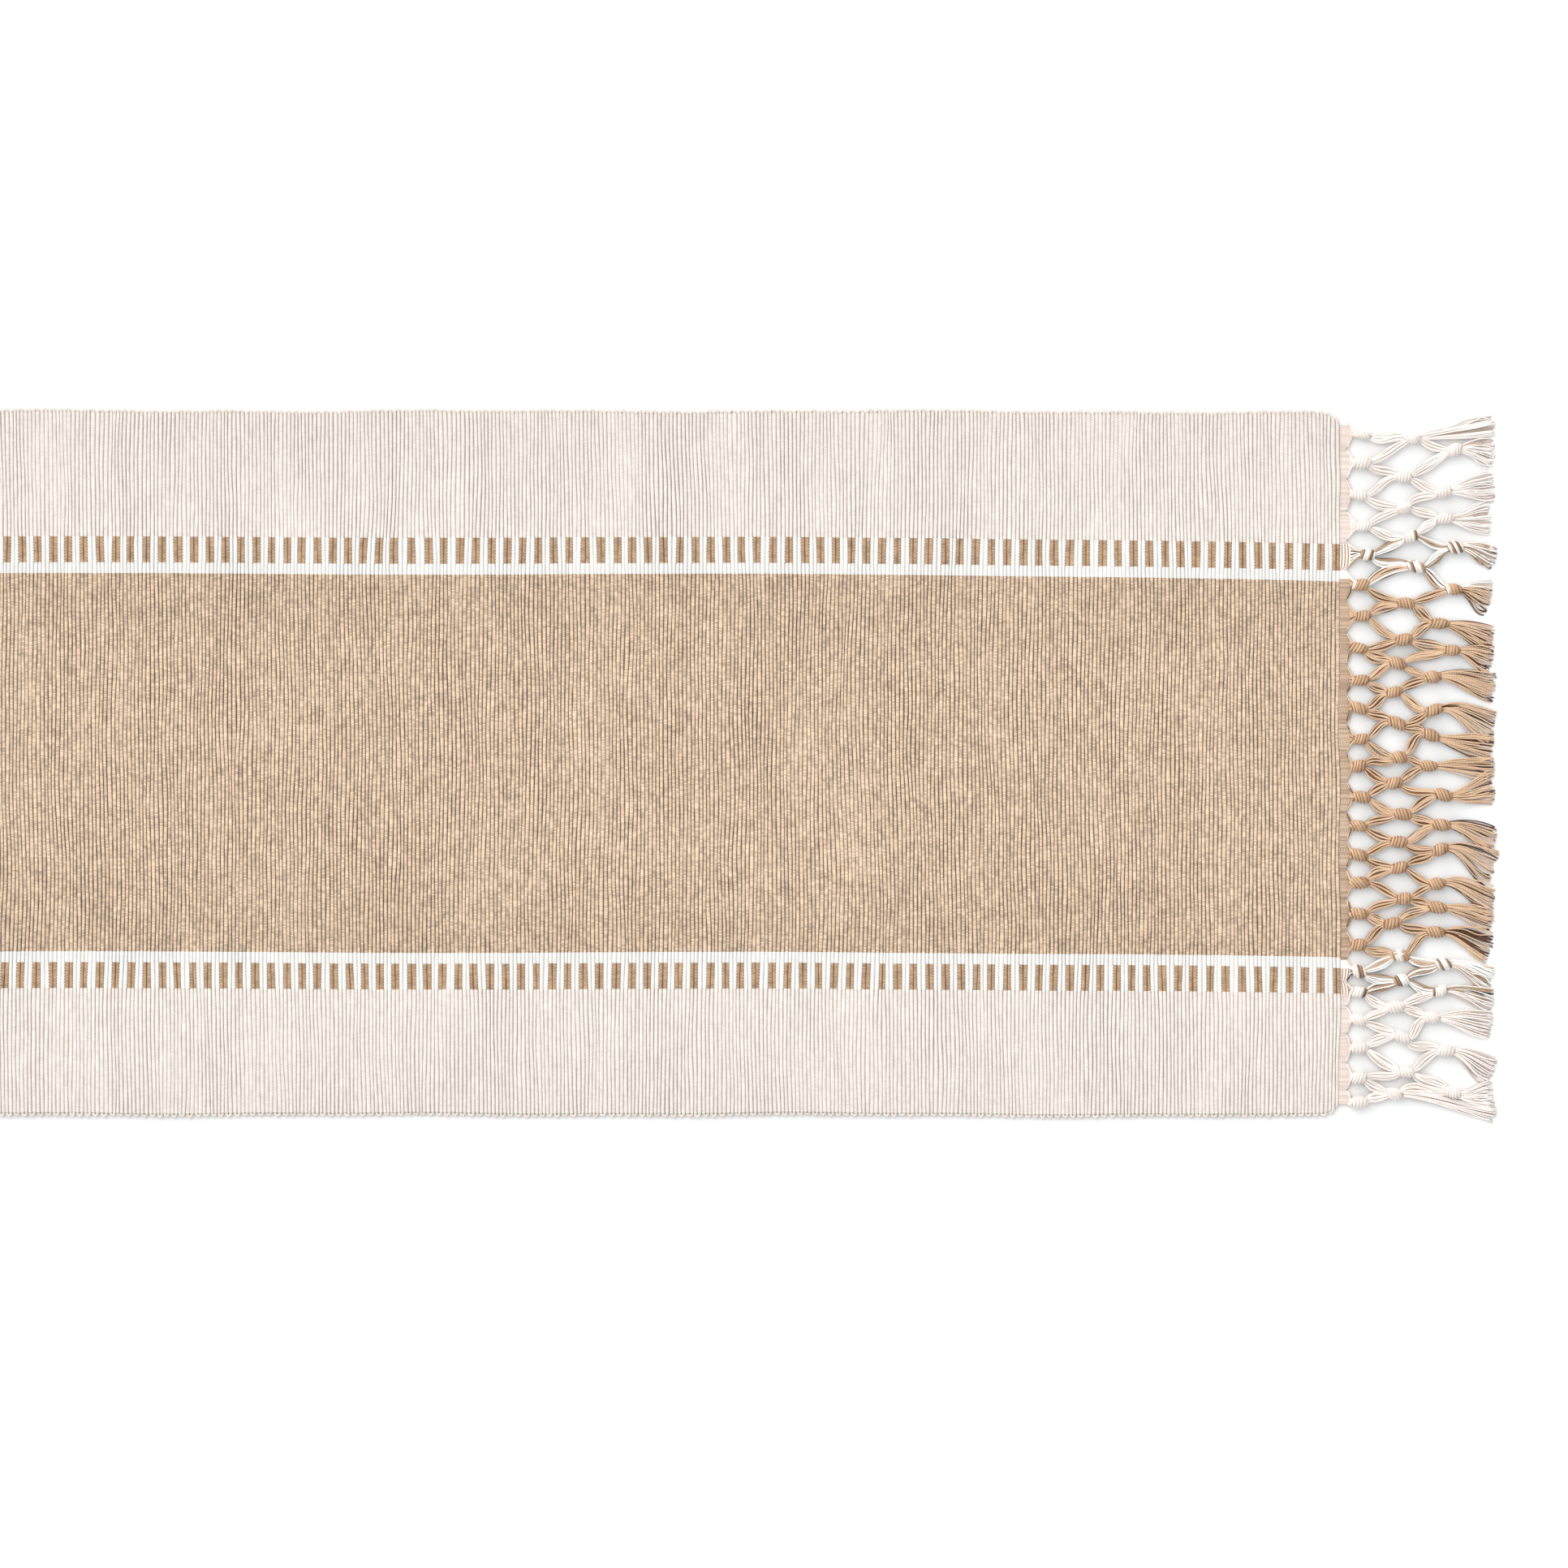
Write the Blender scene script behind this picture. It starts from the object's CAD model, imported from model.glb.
import math

import bpy
import numpy as np
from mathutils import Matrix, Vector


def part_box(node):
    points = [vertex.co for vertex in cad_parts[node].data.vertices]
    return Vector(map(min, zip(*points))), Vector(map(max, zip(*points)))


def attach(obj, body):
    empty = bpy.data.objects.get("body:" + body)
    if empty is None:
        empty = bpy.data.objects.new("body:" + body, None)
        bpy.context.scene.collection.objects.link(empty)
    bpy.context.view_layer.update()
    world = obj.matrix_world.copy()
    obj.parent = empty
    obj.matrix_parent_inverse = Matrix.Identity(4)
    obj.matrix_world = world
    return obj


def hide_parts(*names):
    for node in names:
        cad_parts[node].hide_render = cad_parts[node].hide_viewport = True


# A ribbed cotton table runner lying flat, with a knotted net and tassels at both ends.
#
# The runner's place and outer size come from the frame. Its lengths below are in millimetres
# and become metres when a mesh is made. The floor and the camera are placed in metres.
# +X runs along the cloth, +Y across it.
#
# The cloth is built as its weave: a field says where each rib lies, and the colour bands,
# the dashes, the weft and its turns all follow that field, so they stay in step.

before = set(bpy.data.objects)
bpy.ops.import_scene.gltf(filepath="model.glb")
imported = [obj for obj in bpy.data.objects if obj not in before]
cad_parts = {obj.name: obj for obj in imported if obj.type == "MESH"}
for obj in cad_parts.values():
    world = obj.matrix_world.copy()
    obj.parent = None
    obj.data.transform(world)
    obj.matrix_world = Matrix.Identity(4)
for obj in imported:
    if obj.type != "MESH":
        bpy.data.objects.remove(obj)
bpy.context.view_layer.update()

MM = 0.001
BODY = "root"


def span(node, axis):
    """Where a node of the frame begins and ends along an axis, in millimetres."""
    low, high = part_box(node)
    return low[axis] / MM, high[axis] / MM


X, Y = 0, 1

# Places taken from the frame
BODY_END = span("centre_panel", X)[1]
CENTRE_EDGE = span("centre_panel", Y)[1]
STRIPE_EDGE = span("white_stripe_back", Y)[1]
DASH_EDGE = span("dash_brown_warp_back", Y)[1]
WARP_EDGE = span("cream_band_back", Y)[1]
SELVEDGE = span("weft_turns_back", Y)[1]
HEADER_END = span("header_right", X)[1]
HEADER_SIDE = span("header_right", Y)[1]
FRINGE_END = span("tan_tassels_right", X)[1]

# The weave
RIBS = 920
PITCH = 2 * BODY_END / RIBS
RIBS_IN_DASH = 2
WARP_PITCH = 0.7  # from one visible warp yarn to the next, across the runner
RIB_HEIGHT = 0.98  # from the middle of the cloth to the crest of a rib
GAP_HEIGHT = 0.5  # and to the bottom of the gap between two ribs
RIB_STEPS = 5  # points across one rib
MIDDLE = 1.06  # least height of the middle of the cloth above the table
CREST_SHAPE = 2.4  # power of the rib's outline: 2 is round, and more is flatter on top
HEIGHT_SWELL = 0.05  # how far one rib's height strays from the next one's
GAP_SWELL = 0.10  # and a gap's

# How the runner lies: its bands drift sideways towards both ends, by so much from so far out
RIGHT_DRIFT, RIGHT_DRIFT_START = 3.8, 560
LEFT_DRIFT, LEFT_DRIFT_START = 2.2, 420
DRIFT_SHAPE = 1.6
PINCH = 1.7  # how far the bands are drawn in half way to a selvedge
CORNER_PULL = 5.5  # how far a corner of the cloth is drawn in
CORNER_LENGTH = 3.2  # and the distance over which that fades

# The fringe
YARN = 0.58  # diameter
YARNS_IN_BUNDLE = 32


# Smooth random fields

SMOOTHING_LOSS = 1.6  # makes up, roughly, for what a spline smooths away along one axis


def random_field(seed, rows, columns, row_cell, column_cell):
    """Smooth noise of about unit size on a grid of rows by columns. A cell is the distance,
    in grid steps, over which it changes."""
    rng = np.random.default_rng(seed)
    across = np.arange(rows) / row_cell
    along = np.arange(columns) / column_cell
    coarse = rng.normal(size=(int(across[-1]) + 4, int(along[-1]) + 4))
    return spline(spline(coarse, across, 0), along, 1)


def spline(values, at, axis):
    """Values along one axis, read between their grid points with a cubic B-spline."""
    values = np.moveaxis(values, axis, 0)
    cell = at.astype(int)
    t = (at - cell).reshape((-1,) + (1,) * (values.ndim - 1))
    weights = (
        (1 - t) ** 3 / 6,
        (3 * t**3 - 6 * t**2 + 4) / 6,
        (-3 * t**3 + 3 * t**2 + 3 * t + 1) / 6,
        t**3 / 6,
    )
    total = sum(w * values[cell + i] for i, w in enumerate(weights))
    return np.moveaxis(total, 0, axis) * SMOOTHING_LOSS


def at_points(field, row, column):
    """A field read at any rows and columns, in a straight line between its grid points."""
    row = np.clip(row, 0, field.shape[0] - 1.001)
    column = np.clip(column, 0, field.shape[1] - 1.001)
    i, j = row.astype(int), column.astype(int)
    u, v = row - i, column - j
    near = field[i, j] * (1 - v) + field[i, j + 1] * v
    far = field[i + 1, j] * (1 - v) + field[i + 1, j + 1] * v
    return near * (1 - u) + far * u


# Where the ribs lie. Rows of a field follow the gaps between ribs, columns go across the
# runner every FIELD_STEP millimetres.

FIELD_STEP = 3.0
COLUMNS = int(2 * SELVEDGE / FIELD_STEP) + 2

wander = (
    0.42 * random_field(1, RIBS + 1, COLUMNS, 22, 18)
    + 0.20 * random_field(2, RIBS + 1, COLUMNS, 3.5, 8)
    + 0.13 * random_field(3, RIBS + 1, COLUMNS, 1, 4)
)
swell = (
    0.5 * random_field(4, RIBS + 1, COLUMNS, 1, 5)
    + 0.6 * random_field(5, RIBS + 1, COLUMNS, 5, 9)
)
rise = 0.10 * random_field(6, RIBS + 1, COLUMNS, 30, 16)
rise -= rise.min()


def lay(x, y):
    """The runner as it lies: its bands drift towards the ends, and the outer corners are
    drawn in."""
    right = (x - RIGHT_DRIFT_START) / (HEADER_END - RIGHT_DRIFT_START)
    left = (-x - LEFT_DRIFT_START) / (HEADER_END - LEFT_DRIFT_START)
    right = np.clip(right, 0, 1) ** DRIFT_SHAPE
    left = np.clip(left, 0, 1) ** DRIFT_SHAPE
    bend = LEFT_DRIFT * left - RIGHT_DRIFT * right
    bend = bend + 0.3 * np.sin(x / 97.0) + 0.25 * np.sin(x / 41.0 + 1.0)
    pinch = (PINCH + 0.6 * right) * np.sin(math.pi * np.abs(y) / SELVEDGE)
    held = np.clip(np.abs(y) / SELVEDGE, 0, 1) ** 4
    from_end = np.maximum(BODY_END - np.abs(x), 0)
    outer = np.clip((np.abs(y) - DASH_EDGE) / (SELVEDGE - DASH_EDGE), 0, 1.1) ** 2.5
    drawn_in = CORNER_PULL * np.exp(-from_end / CORNER_LENGTH) * outer
    edge = 0.35 * np.sin(x / 33.0 + np.sign(y)) + 0.2 * np.sin(x / 13.1 + 2 * np.sign(y))
    outwards = edge * held - drawn_in - pinch
    return x, y + bend * (1 - 0.75 * held) + outwards * np.sign(y)


def weave(rib, y, side=0.0):
    """The place of a point of the weave: rib is counted from the left in ribs and parts of a
    rib, y is across the runner, and side goes from -1, the back, to 1, the face."""
    row, column = rib, (y + SELVEDGE) / FIELD_STEP
    x = -BODY_END + PITCH * rib + at_points(wander, row, column)
    part = rib - np.floor(rib)
    crest = np.sqrt(np.clip(1 - np.abs(2 * part - 1) ** CREST_SHAPE, 0, 1))
    height = RIB_HEIGHT + HEIGHT_SWELL * at_points(swell, np.floor(rib) + 0.5, column)
    low = GAP_HEIGHT - GAP_SWELL * at_points(swell, np.round(rib), column + 2.5)
    up = MIDDLE + at_points(rise, row, column) + side * (low + (height - low) * crest)
    x, y = lay(x, y)
    return np.stack(np.broadcast_arrays(x, y, np.maximum(up, 0)), axis=-1)


# Meshes

CREVICE = 1.0  # how much darker a yarn is where it lies against others
DEEP = 2.0  # and where it lies under others
TASSEL_DEEP = 3.2  # which is darkest in a loose tassel
GROOVE = 0.9  # and beside the groove between two turns of a knot
GROOVE_SHADE = 0.86  # how light even a white yarn stays there


def new_mesh(name, points, faces, material, crease=None, **values):
    """A piece of the runner from points in millimetres. faces is a list of arrays, each of
    faces with the same number of corners. crease is the least angle between two faces that
    looks sharp, in degrees. values are named colours or vectors at the points."""
    mesh = bpy.data.meshes.new(name)
    mesh.vertices.add(points.size // 3)
    mesh.vertices.foreach_set("co", np.ascontiguousarray(points * MM, dtype=np.float32).ravel())
    corners = np.concatenate([np.full(len(f), f.shape[1]) for f in faces])
    mesh.loops.add(int(corners.sum()))
    every_corner = np.concatenate([f.ravel() for f in faces])
    mesh.loops.foreach_set("vertex_index", every_corner.astype(np.int32))
    mesh.polygons.add(len(corners))
    starts = np.cumsum(corners) - corners
    mesh.polygons.foreach_set("loop_start", starts.astype(np.int32))
    mesh.polygons.foreach_set("use_smooth", np.ones(len(corners), dtype=bool))
    for key, value in values.items():
        kind, field = ("FLOAT_COLOR", "color") if key == "tint" else ("FLOAT_VECTOR", "vector")
        layer = mesh.attributes.new(key, kind, "POINT")
        layer.data.foreach_set(field, np.ascontiguousarray(value, dtype=np.float32).ravel())
    mesh.update(calc_edges=True)
    mesh.validate()
    if crease:
        mesh.set_sharp_from_angle(angle=math.radians(crease))
    mesh.materials.append(material)
    piece = bpy.data.objects.new(name, mesh)
    bpy.context.scene.collection.objects.link(piece)
    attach(piece, BODY)
    return piece


def grid_faces(rows, columns, start=0, flip=False):
    """Four-cornered faces between the points of a grid, counted row by row."""
    corner = start + (np.arange(rows - 1)[:, None] * columns + np.arange(columns - 1)).ravel()
    faces = np.stack([corner, corner + columns, corner + columns + 1, corner + 1], axis=1)
    return faces[:, ::-1] if flip else faces


def rim(rows, columns):
    """The points round the edge of a grid, in order."""
    grid = np.arange(rows * columns).reshape(rows, columns)
    return np.concatenate([grid[0], grid[1:, -1], grid[-1, -2::-1], grid[-2:0:-1, 0]])


def sheet_faces(rows, columns):
    """The faces of a closed sheet whose points are the grid of its face, then of its back."""
    count = rows * columns
    edge = rim(rows, columns)
    following = np.roll(edge, -1)
    walls = np.stack([edge, following, following + count, edge + count], axis=1)
    back = grid_faces(rows, columns, count, flip=True)
    return np.concatenate([grid_faces(rows, columns), back, walls])


def copies(faces, count, points_each):
    """The same faces again for each of a number of equal sets of points."""
    shift = np.arange(count) * points_each
    return (faces[None] + shift[:, None, None]).reshape(-1, faces.shape[1])


def unit(vectors):
    return vectors / np.linalg.norm(vectors, axis=-1, keepdims=True)


def darker(colour, amount):
    """A colour in shade, where light has bounced from yarn to yarn. It grows darker and
    fuller, a pale colour much less than a dark one."""
    lightness = colour[..., 1:2]
    shaded = colour ** (1 + 0.6 * amount) * lightness ** (0.75 * amount)
    shaded[..., 3] = 1
    return shaded


def tubes(paths, colours, radius, sides=5, up=(0.0, 0.0, 1.0), outside=(0.0, 0.0, 1.0)):
    """Round tubes along paths, an array of (tube, point, coordinate), as their points, faces,
    distance along and round at each point, and colour at each point. up is a direction that
    no path runs along. A tube is darkest on the side away from outside, where it lies
    against its neighbours."""
    count, length = paths.shape[:2]
    along = unit(np.gradient(paths, axis=1))
    level = unit(np.cross(np.broadcast_to(np.asarray(up), paths.shape), along))
    upright = np.cross(along, level)
    turn = 2 * math.pi * (np.arange(sides) + sides / 4) / sides
    radius = np.broadcast_to(np.asarray(radius, dtype=float), (count, length))[..., None, None]
    normal = level[:, :, None] * np.cos(turn)[:, None] + upright[:, :, None] * np.sin(turn)[:, None]
    points = paths[:, :, None] + radius * normal
    here = (np.arange(length - 1)[:, None] * sides + np.arange(sides)).ravel()
    beside = (np.arange(length - 1)[:, None] * sides + (np.arange(sides) + 1) % sides).ravel()
    walls = np.stack([here, beside, beside + sides, here + sides], axis=1)
    ring = np.arange(sides)[None]
    caps = np.concatenate([ring[:, ::-1], ring + (length - 1) * sides])
    steps = np.linalg.norm(np.diff(paths, axis=1), axis=-1)
    distance = np.concatenate([np.zeros((count, 1)), np.cumsum(steps, axis=1)], axis=1)
    around = np.broadcast_to(np.arange(sides) / sides, (count, length, sides))
    number = np.broadcast_to(np.arange(count)[:, None, None], around.shape)
    yarn_at = np.stack([np.broadcast_to(distance[..., None], around.shape), around, number], axis=-1)
    outside = np.broadcast_to(np.asarray(outside), (count, length, 3))
    depth = np.clip(0.5 - 0.7 * (normal * outside[:, :, None]).sum(-1), 0, 1)
    tint = darker(np.broadcast_to(colours, (count, 4))[:, None, None], CREVICE * depth[..., None])
    faces = [copies(walls, count, length * sides), copies(caps, count, length * sides)]
    return points.reshape(-1, 3), faces, yarn_at.reshape(-1, 3), tint.reshape(-1, 4)


def together(shapes):
    """Several results of tubes() as one."""
    points, face_sets, yarn_at, tint = zip(*shapes)
    faces = {}
    start = 0
    for own_points, own_faces in zip(points, face_sets):
        for array in own_faces:
            faces.setdefault(array.shape[1], []).append(array + start)
        start += len(own_points)
    joined = [np.concatenate(arrays) for arrays in faces.values()]
    return np.concatenate(points), joined, np.concatenate(yarn_at), np.concatenate(tint)


# Materials


class Shader:
    """A node material, built by short calls that each return an output socket."""

    def __init__(self, name, sheen):
        self.material = bpy.data.materials.new(name)
        self.material.use_nodes = True
        self.tree = self.material.node_tree
        self.surface = self.tree.nodes["Principled BSDF"]
        self.surface.inputs["Sheen Weight"].default_value = sheen
        self.surface.inputs["Sheen Roughness"].default_value = 0.5
        self.surface.inputs["Specular IOR Level"].default_value = 0.2

    def feed(self, socket, value):
        """Links another node's output to an input, or sets the input to a constant."""
        if isinstance(value, bpy.types.NodeSocket):
            self.tree.links.new(value, socket)
        else:
            socket.default_value = value

    def node(self, kind, inputs=(), **settings):
        made = self.tree.nodes.new(kind)
        for key, value in settings.items():
            setattr(made, key, value)
        for socket, value in zip(made.inputs, inputs):
            self.feed(socket, value)
        return made.outputs[0]

    def math(self, operation, *inputs):
        return self.node("ShaderNodeMath", inputs=inputs, operation=operation)

    def times(self, first, second):
        return self.math("MULTIPLY", first, second)

    def plus(self, first, second):
        return self.math("ADD", first, second)

    def mix(self, share, first, second, kind="MIX"):
        made = self.tree.nodes.new("ShaderNodeMix")
        made.data_type = "RGBA"
        made.blend_type = kind
        for name, kind, value in (
            ("Factor", "VALUE", share),
            ("A", "RGBA", first),
            ("B", "RGBA", second),
        ):
            socket = next(i for i in made.inputs if (i.name, i.type) == (name, kind))
            self.feed(socket, value)
        return next(o for o in made.outputs if o.type == "RGBA")

    def attribute(self, name, output):
        made = self.tree.nodes.new("ShaderNodeAttribute")
        made.attribute_name = name
        return made.outputs[output]

    def parts(self, vector):
        made = self.tree.nodes.new("ShaderNodeSeparateXYZ")
        self.tree.links.new(vector, made.inputs[0])
        return made.outputs[0], made.outputs[1], made.outputs[2]

    def vector(self, *parts):
        return self.node("ShaderNodeCombineXYZ", inputs=parts)

    def between(self, value, low, high, to_low, to_high):
        made = self.tree.nodes.new("ShaderNodeMapRange")
        for socket, setting in zip(made.inputs, (value, low, high, to_low, to_high)):
            self.feed(socket, setting)
        return made.outputs[0]

    def random(self, vector):
        """A number from 0 to 1 of its own for every whole-numbered place."""
        return self.node("ShaderNodeTexWhiteNoise", inputs=[vector], noise_dimensions="3D")

    def noise(self, vector, scale, detail=2.0):
        made = self.tree.nodes.new("ShaderNodeTexNoise")
        self.tree.links.new(vector, made.inputs["Vector"])
        made.inputs["Scale"].default_value = scale
        made.inputs["Detail"].default_value = detail
        return made.outputs[0]

    def finish(self, colour, height, depth, roughness):
        """Joins the colour, the roughness and a bump of a depth in millimetres."""
        self.tree.links.new(colour, self.surface.inputs["Base Color"])
        bump = self.tree.nodes.new("ShaderNodeBump")
        bump.inputs["Distance"].default_value = depth * MM
        self.tree.links.new(height, bump.inputs["Height"])
        self.tree.links.new(bump.outputs[0], self.surface.inputs["Normal"])
        self.tree.links.new(roughness, self.surface.inputs["Roughness"])
        return self.material


def linear(red, green, blue):
    """A colour given on the 0 to 255 display scale, as the renderer holds it."""
    share = np.array([red, green, blue]) / 255
    low = share / 12.92
    high = ((share + 0.055) / 1.055) ** 2.4
    return (*np.where(share <= 0.04045, low, high).tolist(), 1.0)


CREAM = linear(227, 218, 211)
WHITE = linear(226, 225, 222)
TAN = linear(222, 195, 169)
BROWN = linear(184, 152, 122)
GAP_CREAM = linear(170, 158, 147)
GAP_WHITE = linear(198, 190, 183)
GAP_TAN = linear(74, 51, 34)
GAP_BROWN = linear(103, 74, 50)
WEFT = linear(232, 220, 210)
FRINGE_WHITE = linear(255, 253, 250)
FRINGE_CREAM = linear(255, 248, 243)
FRINGE_TAN = linear(244, 211, 179)
FRINGE_BROWN = linear(218, 182, 148)
HEADER_TAN = linear(237, 215, 195)
HEADER_CREAM = linear(249, 237, 230)


NOISE_RANGE = (0.3, 0.7)  # where most of a noise texture's values lie
WARP_BUMP = 0.12
YARN_BUMP = 0.08
PLIES_PER_MM = 0.8  # along a yarn


def warp_material(name, colour, gap_colour, speckle, fade=(0.0, 1.0, 1.0, 1.0)):
    """Close-set warp yarns over a rib: a bead for every yarn, staggered from rib to rib,
    darker down in the gaps, and no two yarns quite the same. fade gives two distances from
    the centre line and how light the cloth is at each."""
    shader = Shader(name, sheen=0.2)
    rib, across, _ = shader.parts(shader.attribute("weave_at", "Vector"))
    part = shader.math("FRACT", rib)
    number = shader.math("FLOOR", rib)
    gap_number = shader.math("FLOOR", shader.plus(rib, 0.5))
    stagger = shader.times(shader.math("MODULO", number, 2.0), 0.5)
    yarn = shader.plus(shader.math("DIVIDE", across, WARP_PITCH), stagger)
    bead = shader.math("ABSOLUTE", shader.math("SINE", shader.times(yarn, math.pi)))
    yarn_number = shader.math("FLOOR", yarn)
    own = shader.random(shader.vector(number, yarn_number, 0.5))

    # each gap opens and closes along its length
    beside = shader.vector(shader.times(gap_number, 7.3), shader.times(across, 0.11), 3.0)
    open_gap = shader.between(shader.noise(beside, 1.0), *NOISE_RANGE, 0.78, 0.35)
    from_middle = shader.math("SUBTRACT", shader.times(part, 2.0), 1.0)
    from_crest = shader.math("ABSOLUTE", from_middle)
    gap = shader.between(from_crest, open_gap, 1.0, 0.0, 1.0)

    # broad unevenness over several ribs, and streaks along single ribs
    broad = shader.vector(shader.times(rib, 0.11), shader.times(across, 0.06), 0.0)
    streak = shader.vector(shader.times(number, 5.7), shader.times(across, 0.16), 9.0)
    light = shader.between(own, 0.0, 1.0, 1.0 - speckle, 1.0 + speckle * 0.6)
    for place, darkest, lightest in ((broad, -0.16, 0.12), (streak, -0.7, 0.6)):
        uneven = shader.noise(place, 1.0)
        uneven = shader.between(uneven, *NOISE_RANGE, darkest * speckle, lightest * speckle)
        light = shader.plus(light, uneven)
    light = shader.times(light, shader.between(shader.math("ABSOLUTE", across), *fade))
    light = shader.times(light, shader.between(bead, 0.0, 1.0, 1.0 - speckle, 1.03))
    lit = shader.mix(1.0, colour, shader.vector(light, light, light), kind="MULTIPLY")
    shown = shader.mix(gap, lit, gap_colour)
    height = shader.times(bead, shader.between(gap, 0.0, 1.0, 1.0, 0.3))
    rough = shader.between(own, 0.0, 1.0, 0.8, 0.95)
    return shader.finish(shown, height, WARP_BUMP, rough)


def yarn_material(name):
    """Twisted cotton yarn in the colour that its points carry: two plies, darker between
    them, and fine fibres."""
    shader = Shader(name, sheen=0.25)
    along, around, number = shader.parts(shader.attribute("yarn_at", "Vector"))
    twist = shader.plus(shader.times(along, PLIES_PER_MM), shader.times(around, 2.0))
    ply = shader.math("ABSOLUTE", shader.math("SINE", shader.times(twist, math.pi)))
    fibres = shader.noise(shader.vector(shader.times(twist, 6.0), around, number), 2.0, 3.0)
    tint = shader.attribute("tint", "Color")
    shaded = shader.mix(1.0, tint, shader.node("ShaderNodeRGBToBW", inputs=[tint]), kind="MULTIPLY")
    shown = shader.mix(shader.between(ply, 0.0, 0.8, 0.6, 0.0), tint, shaded)
    light = shader.between(fibres, *NOISE_RANGE, 0.93, 1.04)
    shown = shader.mix(1.0, shown, shader.vector(light, light, light), kind="MULTIPLY")
    height = shader.plus(ply, shader.times(fibres, 0.3))
    rough = shader.between(fibres, *NOISE_RANGE, 0.78, 0.95)
    return shader.finish(shown, height, YARN_BUMP, rough)


# The cloth

ALL_RIBS = np.arange(RIBS * RIB_STEPS + 1) / RIB_STEPS
BAND_STEP = 6.0
DASH_COLUMNS = 19
TOOTH = 0.12  # how far the warps of a dash end past or short of its edge, in ribs
CREASE = 62  # degrees
TURN_RADIUS = 0.72  # of the weft where it turns at a selvedge
TURN_ROOT = 0.9  # how far in among the warps a turn begins
PICK_RADIUS = 0.42  # of the weft inside a rib

tan_warp = warp_material("tan_warp", TAN, GAP_TAN, 0.24, fade=(50, 90, 1.0, 0.93))
cream_warp = warp_material("cream_warp", CREAM, GAP_CREAM, 0.07, fade=(107, 165, 1.03, 0.97))
white_warp = warp_material("white_warp", WHITE, GAP_WHITE, 0.04)
brown_warp = warp_material("brown_warp", BROWN, GAP_BROWN, 0.2)
yarn = yarn_material("yarn")


def stand_in(piece, node):
    """A detailed piece shown in the place of its plain node of the frame."""
    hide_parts(node)
    return piece


def flat(points):
    return points.reshape(-1, 3)


def weave_places(rib, y):
    """The rib and the place across, for the material to draw the yarns by."""
    rib, y = np.broadcast_arrays(rib, y)
    return np.stack([rib, y, np.zeros(y.shape)], axis=-1)


def band(node, low, high, material):
    """Warp of one colour from end to end: a closed sheet, ribbed on its face and its back."""
    across = np.linspace(low, high, max(2, round((high - low) / BAND_STEP) + 1))
    rib = ALL_RIBS[:, None]
    points = np.concatenate([flat(weave(rib, across, side)) for side in (1, -1)])
    at = flat(weave_places(rib, across))
    at = np.concatenate([at, at])
    faces = sheet_faces(len(ALL_RIBS), len(across))
    piece = new_mesh(node + "_cloth", points, [faces], material, CREASE, weave_at=at)
    return stand_in(piece, node)


def dashes(node, low, high, face_blocks, material):
    """Warps that lie over two ribs on the face and under the next two on the back.
    face_blocks is 1 if the odd blocks of two ribs are on the face, and 0 if the even ones."""
    across = np.linspace(low, high, DASH_COLUMNS)
    block = np.arange(RIBS // RIBS_IN_DASH)[:, None, None]
    rows = RIBS_IN_DASH * RIB_STEPS + 1
    rib = RIBS_IN_DASH * block + np.arange(rows)[:, None] / RIB_STEPS
    teeth = np.zeros((rows, DASH_COLUMNS))
    teeth[[0, -1]] = np.where(np.arange(DASH_COLUMNS) % 2, TOOTH, -TOOTH)
    rib = rib + teeth
    on_face = block % 2 == face_blocks
    upper = weave(rib, across, np.where(on_face, 1.0, -0.05))
    lower = weave(rib, across, np.where(on_face, 0.05, -1.0))
    points = np.stack([upper, lower], axis=1)
    at = weave_places(rib, across)
    at = np.stack([at, at], axis=1)
    faces = copies(sheet_faces(rows, DASH_COLUMNS), len(block), 2 * rows * DASH_COLUMNS)
    at = flat(at)
    piece = new_mesh(node + "_cloth", flat(points), [faces], material, CREASE, weave_at=at)
    return stand_in(piece, node)


def of_yarn(node, shapes):
    """A piece made of tubes of yarn."""
    points, faces, yarn_at, tint = together(shapes)
    piece = new_mesh(node + "_yarn", points, faces, yarn, yarn_at=yarn_at, tint=tint)
    return stand_in(piece, node)


def weft_turns(node, sign, first):
    """The weft where it leaves one rib and turns back into the next, at one selvedge."""
    rng = np.random.default_rng(20 + first)
    count = len(range(first, RIBS - 1, 2))
    angle = np.linspace(0, math.pi, 9)
    rib = first + 0.5 + 2 * np.arange(count)[:, None] + (1 - np.cos(angle)) / 2
    reach = PITCH / 2 * np.sin(angle) * rng.uniform(1.1, 1.7, (count, 1))
    reach[:, [0, -1]] = -TURN_ROOT
    radius = TURN_RADIUS + rng.uniform(-0.05, 0.05, (count, 1))
    paths = weave(rib, sign * (WARP_EDGE + reach))
    light = rng.uniform(0.93, 1.02, (count, 1))
    return of_yarn(node, [tubes(paths, np.array(WEFT) * light, radius, sides=8)])


cloth = [
    band("centre_panel", -CENTRE_EDGE, CENTRE_EDGE, tan_warp),
    band("white_stripe_front", -STRIPE_EDGE, -CENTRE_EDGE, white_warp),
    band("white_stripe_back", CENTRE_EDGE, STRIPE_EDGE, white_warp),
    band("cream_band_front", -WARP_EDGE, -DASH_EDGE, cream_warp),
    band("cream_band_back", DASH_EDGE, WARP_EDGE, cream_warp),
]
for edge, low, high in (("front", -DASH_EDGE, -STRIPE_EDGE), ("back", STRIPE_EDGE, DASH_EDGE)):
    cloth.append(dashes(f"dash_brown_warp_{edge}", low, high, 1, brown_warp))
    cloth.append(dashes(f"dash_white_warp_{edge}", low, high, 0, white_warp))

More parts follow.
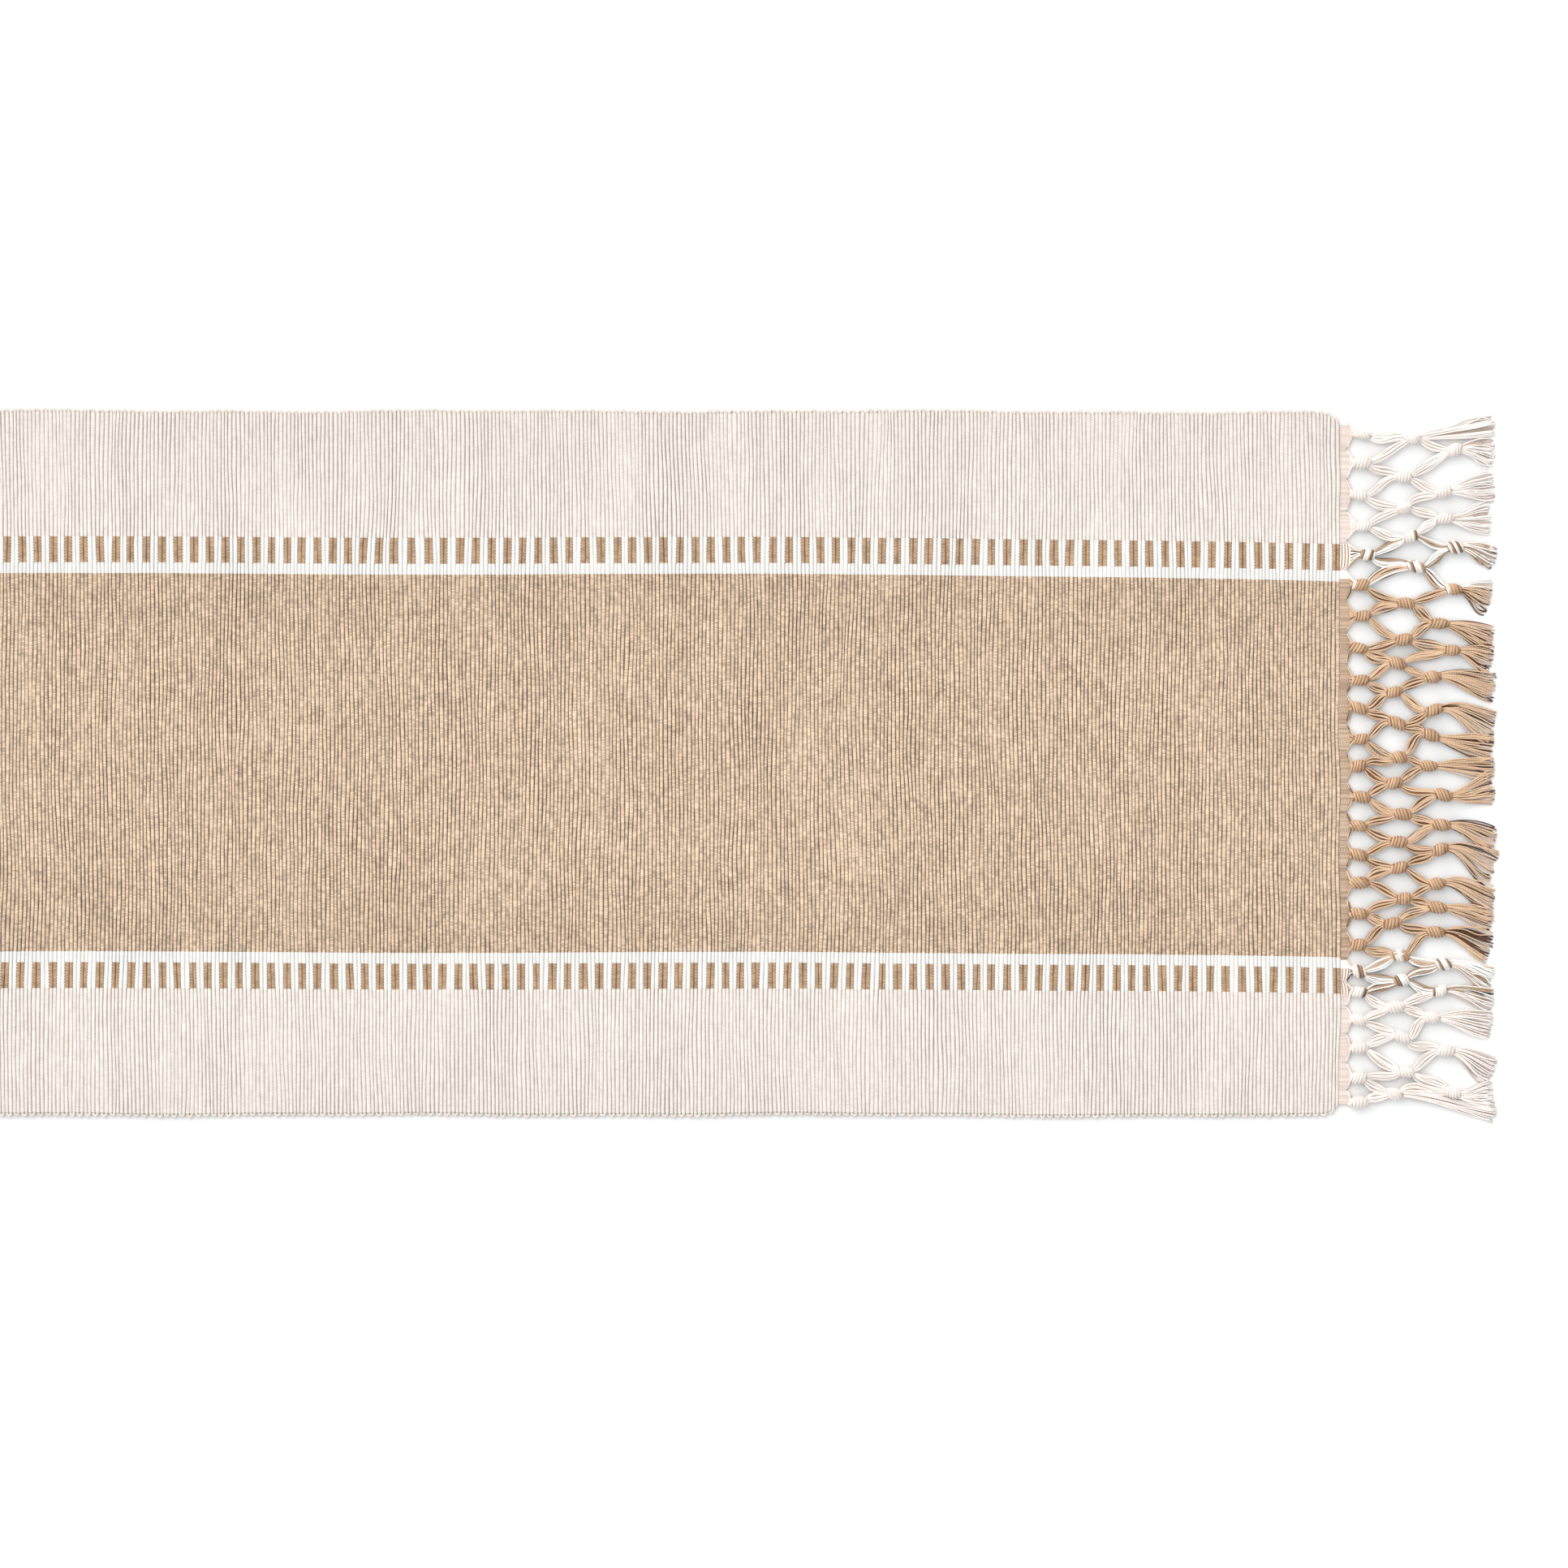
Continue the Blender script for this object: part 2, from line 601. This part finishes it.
picks_across = np.linspace(-WARP_EDGE, WARP_EDGE, 34)
picks = weave(np.arange(RIBS)[:, None] + 0.5, picks_across)
weft = [
    of_yarn("weft_picks", [tubes(picks, np.array(WEFT), PICK_RADIUS, sides=4)]),
    weft_turns("weft_turns_back", 1, 0),
    weft_turns("weft_turns_front", -1, 1),
]

# The net as the frame has it tied

GROUPS = ("cream_front", "mixed_front", "tan", "mixed_back", "cream_back")
KNOT_LENGTH = 8.4
KNOT_RADIUS = 2.85  # from the axis to the middle of the outermost yarn
NECK_RADIUS = 1.4
KNOT_TILT = 10  # degrees, typically
MOUTH_INSET = 1.1  # how far inside a knot's end its yarns stop
LEG_ASIDE = 0.8  # how far from the axis a leg meets a knot
LOOSE_HALF_WIDTH = 4.2  # of a loose outer tassel
RIDGES = 5  # turns of the rope of yarns that is wound round a knot
YARNS_IN_RIDGE = 3
ROW_ENDS = (12, 34)  # from the header: row 1 lies before the first, row 3 after the last


def solids_of(node):
    """The points of each separate solid of a node of the frame, in millimetres."""
    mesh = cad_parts[node].data
    points = np.empty(len(mesh.vertices) * 3, dtype=np.float32)
    mesh.vertices.foreach_get("co", points)
    points = points.reshape(-1, 3) / MM
    edges = np.empty(len(mesh.edges) * 2, dtype=np.int32)
    mesh.edges.foreach_get("vertices", edges)
    _, same = np.unique(np.round(points, 3), axis=0, return_inverse=True)
    same = same.ravel()
    first, second = same[edges.reshape(-1, 2)].T
    label = np.arange(same.max() + 1)
    while True:
        least = np.minimum(label[first], label[second])
        merged = label.copy()
        np.minimum.at(merged, first, least)
        np.minimum.at(merged, second, least)
        merged = merged[merged]
        if np.array_equal(merged, label):
            break
        label = merged
    own = label[same]
    return [points[own == each] for each in np.unique(own)]


def by_lightness(colours, count, rng):
    """A few of a bundle's colours, spread evenly from its darkest to its lightest, in a
    random order."""
    ordered = colours[np.argsort(colours[:, 1], kind="stable")]
    picked = ordered[((np.arange(count) + 0.5) / count * len(colours)).astype(int)]
    return picked[rng.permutation(count)]


class Knot:
    """A knot of the net: its place, the way its yarns run, and how it is drawn."""

    def __init__(self, middle, direction, group, rng):
        tilt = math.radians(rng.normal(0, KNOT_TILT))
        self.length = KNOT_LENGTH * rng.uniform(0.9, 1.15)
        self.radius = KNOT_RADIUS * rng.uniform(0.93, 1.1)
        self.middle = middle
        self.middle[2] = self.radius + YARN / 2
        self.axis = np.array([direction * math.cos(tilt), math.sin(tilt), 0.0])
        self.across = np.array([-self.axis[1], self.axis[0], 0.0]) * direction
        self.group = group
        self.past_header = abs(middle[0]) - HEADER_END

    def mouth(self, way, aside):
        """Where yarns enter (way -1) or leave (way 1), a little to one side."""
        end = self.middle + self.axis * way * (self.length / 2 - MOUTH_INSET)
        return end + self.across * aside

    def turned(self, angle):
        """The way its yarns run, turned towards the back by some degrees."""
        angle = math.radians(angle)
        return self.axis * math.cos(angle) + self.across * math.sin(angle)

    def girth(self, t):
        """The radius of the barrel, at a share of the way from one end to the other."""
        return NECK_RADIUS + (self.radius - NECK_RADIUS) * np.sin(math.pi * t) ** 0.55

    def winding(self, colours, rng):
        """The bundle wound round itself in ridges of a few yarns, over a dark core."""
        angle = np.linspace(0, 2.3 * math.pi, 17)
        ridge = np.repeat(np.arange(RIDGES), YARNS_IN_RIDGE)[:, None]
        rank = np.tile(np.linspace(-1, 1, YARNS_IN_RIDGE), RIDGES)[:, None]
        t = np.clip((ridge + angle / (2 * math.pi)) / RIDGES, 0, 1)
        width = self.length / RIDGES
        radius = self.girth(t) - 0.3 * rank**2
        begin = rng.uniform(0, 2 * math.pi)
        outside = np.cos(angle + begin)[:, None] * self.across
        outside[:, 2] += np.sin(angle + begin)
        slant = rng.choice([-1, 1]) * rng.uniform(0.15, 0.45)
        along = (t - 0.5) * (self.length - width) + 0.27 * width * rank
        along = along + slant * radius * np.cos(angle + begin)
        paths = self.middle + along[..., None] * self.axis + radius[..., None] * outside
        paths[..., 2] = np.maximum(paths[..., 2], YARN / 2)
        picked = np.repeat(by_lightness(colours, RIDGES, rng), YARNS_IN_RIDGE, axis=0)
        beside_groove = (rank + 1) / 2
        picked = darker(picked, GROOVE * beside_groove)
        picked[:, :3] *= GROOVE_SHADE**beside_groove
        wound = tubes(paths, picked, YARN / 2, up=(1.0, 0.0, 0.0), outside=outside)
        t = np.linspace(0, 1, 7)
        core = self.middle + ((t - 0.5) * (self.length - 1.2))[:, None] * self.axis
        dark = darker(colours.mean(0), 2.0)
        return [wound, tubes(core[None], dark, self.girth(t) - 0.3, sides=10)]


class Net:
    """One end's knots in their rows, the tips of its tassels, and the share of the header
    that each first-row knot gathers, all from the front to the back."""

    def __init__(self, end, direction, seed):
        self.end, self.direction = end, direction
        self.rng = np.random.default_rng(seed)
        knots, tips = [], []
        for group in GROUPS:
            for solid in solids_of(f"{group}_knots_{end}"):
                middle = (solid.min(0) + solid.max(0)) / 2
                knots.append(Knot(middle, direction, group, self.rng))
            for solid in solids_of(f"{group}_tassels_{end}"):
                cut = solid[np.abs(solid[:, 0]) > FRINGE_END - 1.0]
                tips.append([direction * (FRINGE_END - 0.6), cut[:, 1].mean(), 0.5])
        knots.sort(key=lambda knot: knot.middle[1])
        self.tips = np.array(sorted(tips, key=lambda tip: tip[1]))
        self.first = [k for k in knots if k.past_header < ROW_ENDS[0]]
        self.second = [k for k in knots if ROW_ENDS[0] <= k.past_header <= ROW_ENDS[1]]
        self.third = [k for k in knots if k.past_header > ROW_ENDS[1]]
        y = np.array([knot.middle[1] for knot in self.first])
        self.shares = np.array([-HEADER_SIDE, *(y[1:] + y[:-1]) / 2, HEADER_SIDE])

    def from_middle_of_share(self, y):
        """0 in the middle of a bundle's share of the header, 1 where it meets the next."""
        number = np.interp(y, self.shares, np.arange(len(self.shares)))
        return np.abs(2 * (number - np.floor(number)) - 1)

    def header_edge(self, y):
        """How far along X the header reaches: out to each bundle, notched between them."""
        return self.direction * (HEADER_END + 1.0 - NOTCH * self.from_middle_of_share(y) ** 4)


def warp_yarn_colours(y, tan, cream, unevenness, rng):
    """The colours of single warp yarns that lie at these places across the runner."""
    aside = np.abs(y)[:, None]
    dash = np.where((np.arange(len(y)) // 2 % 2 == 0)[:, None], FRINGE_BROWN, FRINGE_WHITE)
    colour = np.where(aside < CENTRE_EDGE + 1.5, tan, FRINGE_WHITE)
    colour = np.where(aside > STRIPE_EDGE, dash, colour)
    colour = np.where(aside > DASH_EDGE, cream, colour)
    return darker(colour, unevenness * rng.random((len(y), 1)))


# The header

HEADER_STEP = 0.425
HEADER_PICKS = 8  # fine weft picks across the strip
HEADER_ROWS = 2 * HEADER_PICKS + 1
HEADER_HALF_THICKNESS = 0.5
NOTCH = 2.4  # depth of the notch between two bundles


def header(net):
    """The short strip of fine weave between the last rib and the fringe."""
    rng = np.random.default_rng(31)
    y = np.linspace(-WARP_EDGE, WARP_EDGE, round(2 * WARP_EDGE / HEADER_STEP) + 1)
    start = weave(np.full(len(y), RIBS if net.direction > 0 else 0.0), y)
    start[:, 0] -= 0.5 * net.direction
    share = np.linspace(0, 1, HEADER_ROWS)[:, None]
    slant = 0.5 * np.abs((y / 2.6) % 2 - 1)
    ripple = np.cos(2 * math.pi * (HEADER_PICKS * share + slant))
    x = start[:, 0] + (net.header_edge(start[:, 1]) - start[:, 0]) * share
    middle = 1.3 - 0.3 * share
    upper = middle + HEADER_HALF_THICKNESS + 0.12 * ripple
    lower = np.broadcast_to(middle - HEADER_HALF_THICKNESS, upper.shape)
    across = np.broadcast_to(start[:, 1], upper.shape)
    points = np.stack([np.stack([x, across, height], axis=-1) for height in (upper, lower)])
    depth = 0.5 - 0.5 * ripple
    colours = warp_yarn_colours(y, HEADER_TAN, HEADER_CREAM, 0.8, rng)
    # brown and white warps still change places, now at every pick
    pick = np.arange(HEADER_ROWS)[:, None, None] // 2
    on_face = np.where(pick % 2 == 0, FRINGE_BROWN, FRINGE_WHITE)
    in_dashes = (np.abs(y) > STRIPE_EDGE) & (np.abs(y) < DASH_EDGE)
    colours = np.where(in_dashes[:, None], on_face, colours)
    tint = darker(colours, 0.9 * depth[..., None])
    tint = np.stack([tint, tint])
    at = weave_places(HEADER_PICKS * share, y)
    at = np.stack([at, at])
    faces = sheet_faces(HEADER_ROWS, len(y))
    if net.direction < 0:
        faces = faces[:, ::-1]
    node = f"header_{net.end}"
    piece = new_mesh(
        node + "_cloth", flat(points), [faces], yarn, CREASE, tint=tint.reshape(-1, 4), yarn_at=flat(at)
    )
    return stand_in(piece, node)


# The fringe

LEG_STEPS = 13
TASSEL_STEPS = 12


def hermite(start, end, leave, arrive, steps):
    """Smooth curves from start to end, leaving and arriving along the given vectors. The
    steps run along the last axis but one."""
    t = np.linspace(0, 1, steps)[:, None]
    start, end, leave, arrive = (np.asarray(v)[..., None, :] for v in (start, end, leave, arrive))
    curve = (2 * t**3 - 3 * t**2 + 1) * start + (t**3 - 2 * t**2 + t) * leave
    return curve + (3 * t**2 - 2 * t**3) * end + (t**3 - t**2) * arrive


def off_the_table(paths):
    """The same paths, nowhere sunk into the table."""
    paths[..., 2] = np.maximum(paths[..., 2], YARN / 2)
    return paths


def leg(upper, lower, aside, colours, rng):
    """A leg of the net from one knot to a knot of the next row: a few strands of two yarns
    side by side along a bowed line, over the darker rest of the yarns. aside is the side of
    the upper knot that it leaves from."""
    start, end = upper.mouth(1, LEG_ASIDE * aside), lower.mouth(-1, -LEG_ASIDE * aside)
    length = np.linalg.norm(end - start) * rng.uniform(0.9, 1.2)
    leave = upper.turned(aside * rng.uniform(15, 55)) * length
    arrive = lower.turned(aside * rng.uniform(-5, 35)) * length
    centre = hermite(start, end, leave, arrive, LEG_STEPS)
    t = np.linspace(0, 1, LEG_STEPS)
    bow = np.sin(math.pi * t) ** 0.8
    centre[:, 2] -= 0.9 * bow
    strands = rng.choice([3, 3, 4])
    half_width = 0.8 + rng.uniform(0.32, 0.5) * strands * bow
    on_top = 2 * strands
    below = len(colours) - on_top
    strand = np.repeat(np.linspace(-0.8, 0.8, strands) + rng.normal(0, 0.05, strands), 2)
    top_rank = strand + np.tile([-0.33, 0.33], strands) / strands
    rank = np.concatenate([top_rank, np.linspace(-0.9, 0.9, below)])[:, None]
    strand_colours = np.repeat(by_lightness(colours, strands, rng), 2, axis=0)
    yarns = np.concatenate([strand_colours, colours[:below]])
    depth = np.repeat([0.0, 1.0], [on_top, below])[:, None]
    each = (len(yarns), 1)
    wave = 0.1 * np.sin(t * rng.uniform(2, 7, each) + rng.uniform(0, 6, each))
    along = unit(np.gradient(centre, axis=0))
    level = unit(np.cross((0.0, 0.0, 1.0), along))
    paths = centre + ((rank + wave) * half_width)[..., None] * level
    paths[..., 2] += 0.7 * np.sqrt(np.clip(1 - rank**2, 0, 1)) - 0.55 * depth
    return tubes(off_the_table(paths), darker(yarns, DEEP * depth), YARN / 2)


def gather(edge_y, net, knot, colours):
    """Warp ends of one bundle, drawn together from the header into their first knot."""
    rng = net.rng
    count = len(colours)
    start = np.stack([net.header_edge(edge_y), edge_y, np.full(count, 1.2)], axis=1)
    start[:, 0] -= net.direction * 0.6
    rank = np.linspace(-1, 1, count)[:, None]
    end = knot.mouth(-1, 0) + rank * knot.across * 1.2
    end[:, 2] += 0.8 * rng.uniform(-1, 1, count)
    reach = np.abs(end[:, 0] - start[:, 0])[:, None]
    forward = np.array([net.direction, 0.0, 0.0]) * reach
    paths = hermite(start, end, forward * 0.6, knot.axis * reach, 8)
    depth = (rng.random((count, 1)) < 0.35).astype(float)
    return tubes(off_the_table(paths), darker(colours, DEEP * depth), YARN / 2)


def tassel(knot, tip, half_width, colours, rng):
    """The loose end of a bundle below its last knot, spread out on the table. tip is the
    place of its cut end."""
    count = len(colours)
    rank = np.linspace(-1, 1, count)[:, None] + rng.uniform(-0.1, 0.1, (count, 1))
    depth = (rng.random((count, 1)) < 0.4).astype(float)
    start = knot.mouth(1, 0) + rank * knot.across * 1.3
    start[:, 2] += 0.5 * rng.uniform(-1, 1, count) - 0.5 * depth[:, 0]
    toward = tip - knot.middle
    toward[2] = 0
    length = np.linalg.norm(toward)
    toward = toward / length
    level = np.array([-toward[1], toward[0], 0.0]) * np.sign(toward[0])
    end = tip + (rank * half_width + rng.normal(0, 0.6, (count, 1))) * level
    short = rng.uniform(0, 2.5) + rng.gamma(1.5, 0.9, (count, 1)) + 1.2 * rank**2
    end = end - short * toward
    end[:, 2] = YARN / 2 + rng.uniform(0.5, 1.3, count) * (1 - depth[:, 0])
    leave = knot.axis * length * 0.8 + rank * level * half_width * 0.9
    arrive = toward * length * 0.7 + rank * level * rng.uniform(-5, 6, (count, 1))
    paths = hermite(start, end, leave, arrive, TASSEL_STEPS)
    t = np.linspace(0, 1, TASSEL_STEPS)
    wave = np.sin(t * rng.uniform(4, 11, (count, 1)) + rng.uniform(0, 6, (count, 1)))
    stray = np.where(rng.random((count, 1)) < 0.08, 1.6, 0.4)
    wave = wave * t * rng.uniform(0, 1, (count, 1)) * stray
    paths = off_the_table(paths + wave[..., None] * level)
    return tubes(paths, darker(colours, TASSEL_DEEP * depth), YARN / 2)


def fringe(net):
    """All the knots, legs and tassels of one end, as pieces by the frame's nodes."""
    rng = net.rng
    first, second, third = net.first, net.second, net.third
    kinds = ("knots", "legs", "tassels")
    made = {(kind, group): [] for group in GROUPS for kind in kinds}
    half = YARNS_IN_BUNDLE // 2
    spacing = (np.arange(YARNS_IN_BUNDLE) + 0.5) / YARNS_IN_BUNDLE
    bundles = []
    for number, knot in enumerate(first):
        low, high = net.shares[number], net.shares[number + 1]
        edge_y = low + 0.4 + (high - low - 0.8) * spacing
        drift = lay(net.direction * BODY_END, edge_y)[1] - edge_y
        own = warp_yarn_colours(edge_y - drift, FRINGE_TAN, FRINGE_CREAM, 0.35, rng)
        bundles.append(own)
        made["knots", knot.group] += knot.winding(own, rng)
        legs = made["legs", knot.group]
        legs.append(gather(edge_y, net, knot, own))
        if number > 0:
            legs.append(leg(knot, second[number - 1], -1, own[:half], rng))
        if number < len(second):
            legs.append(leg(knot, second[number], 1, own[half:], rng))
    # an outermost first-row knot has no knot to its outer side, and all of it goes inwards
    for knot, below, aside, yarns in (
        (first[0], second[0], 1, bundles[0][:half]),
        (first[-1], second[-1], -1, bundles[-1][half:]),
    ):
        made["legs", knot.group].append(leg(knot, below, aside, yarns, rng))
    for number, knot in enumerate(second):
        own = np.concatenate([bundles[number][half:], bundles[number + 1][:half]])
        made["knots", knot.group] += knot.winding(own, rng)
        if number > 0:
            made["legs", knot.group].append(leg(knot, third[number - 1], -1, own[:half], rng))
        if number < len(third):
            made["legs", knot.group].append(leg(knot, third[number], 1, own[half:], rng))
    for knot, own, tip in zip(third, bundles[1:], net.tips[1:]):
        made["knots", knot.group] += knot.winding(own, rng)
        half_width = rng.uniform(5.0, 8.5)
        made["tassels", knot.group].append(tassel(knot, tip, half_width, own, rng))
    for outermost in (0, -1):
        knot, own, tip = second[outermost], bundles[outermost], net.tips[outermost]
        made["tassels", knot.group].append(tassel(knot, tip, LOOSE_HALF_WIDTH, own, rng))
    return [
        of_yarn(f"{group}_{kind}_{net.end}", shapes)
        for (kind, group), shapes in made.items()
    ]


trimmings = [*weft]
for net in (Net("left", -1, 41), Net("right", 1, 7)):
    trimmings += [header(net), *fringe(net)]

# The bands are one cloth. The two narrow stripes go with the centre panel, like the trimmings.
centre_panel, *other_bands = cloth
trimmings += [piece for piece in other_bands if piece.name.startswith("white_stripe")]
for piece in cloth:
    if piece not in trimmings:
        low, high = span(piece.name.removesuffix("_cloth"), Y)

# The table, the light and the camera

bpy.ops.mesh.primitive_plane_add(size=40, location=(0, 0, 0))
floor = bpy.context.object
floor.name = "floor"
floor_material = bpy.data.materials.new("floor")
floor_material.use_nodes = True
floor_surface = floor_material.node_tree.nodes["Principled BSDF"]
floor_surface.inputs["Base Color"].default_value = (0.87, 0.87, 0.87, 1)
floor_surface.inputs["Roughness"].default_value = 0.9
floor_surface.inputs["Specular IOR Level"].default_value = 0.0
floor.data.materials.append(floor_material)

scene = bpy.context.scene
scene.view_settings.view_transform = "Standard"
world = bpy.data.worlds.new("studio")
world.use_nodes = True
world.node_tree.nodes["Background"].inputs["Color"].default_value = (0.955, 0.985, 1, 1)
world.node_tree.nodes["Background"].inputs["Strength"].default_value = 1.02
scene.world = world

# a broad lamp above, and a low one that gives the ribs and the edges their soft shadows
for name, energy, width, colour, lean in (
    ("high_lamp", 1.3, 60, (1, 0.975, 0.94), (-32, -34)),
    ("low_lamp", 1.3, 34, (1, 0.975, 0.94), (-60, -52)),
):
    lamp = bpy.data.objects.new(name, bpy.data.lights.new(name, "SUN"))
    lamp.data.energy = energy
    lamp.data.angle = math.radians(width)
    lamp.data.color = colour
    lamp.rotation_euler = (math.radians(lean[0]), math.radians(lean[1]), 0)
    scene.collection.objects.link(lamp)

camera = bpy.data.objects.new("camera", bpy.data.cameras.new("camera"))
camera.data.lens = 200
camera.data.sensor_width = 36
camera.data.clip_end = 60
camera.location = (0.5807, -0.0099, 4.07)
scene.collection.objects.link(camera)
scene.camera = camera
